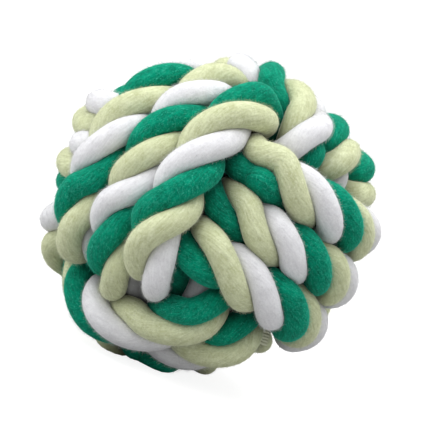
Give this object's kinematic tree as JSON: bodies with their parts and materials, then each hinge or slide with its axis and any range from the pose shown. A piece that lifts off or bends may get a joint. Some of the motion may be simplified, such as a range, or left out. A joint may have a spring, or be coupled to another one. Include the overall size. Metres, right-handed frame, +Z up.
{
  "type": "rope ball dog toy",
  "caption": "Soft ball knotted from thick twisted rope in green, white and lime over a round core, with its bound ends tucked in, for a dog to chew and fetch.",
  "frame": {"origin": "centre of the bounding box in X and Y, on the floor that the ball stands on", "axes": "+Z up, and -Y towards the viewer, with the side that the picture shows in front"},
  "size_m": [0.0856, 0.0884, 0.0842],
  "materials": {
    "cotton_green": "matte fibrous cotton",
    "cotton_white": "matte fibrous cotton",
    "cotton_lime": "matte fibrous cotton",
    "core_rubber": "matte",
    "twine": "matte twisted twine"
  },
  "bodies": {
    "root": {"strand_green": "cotton_green", "strand_white": "cotton_white", "strand_lime": "cotton_lime", "core_ball": "core_rubber", "whipping_first_end": "twine", "whipping_last_end": "twine"}
  },
  "joints": []
}
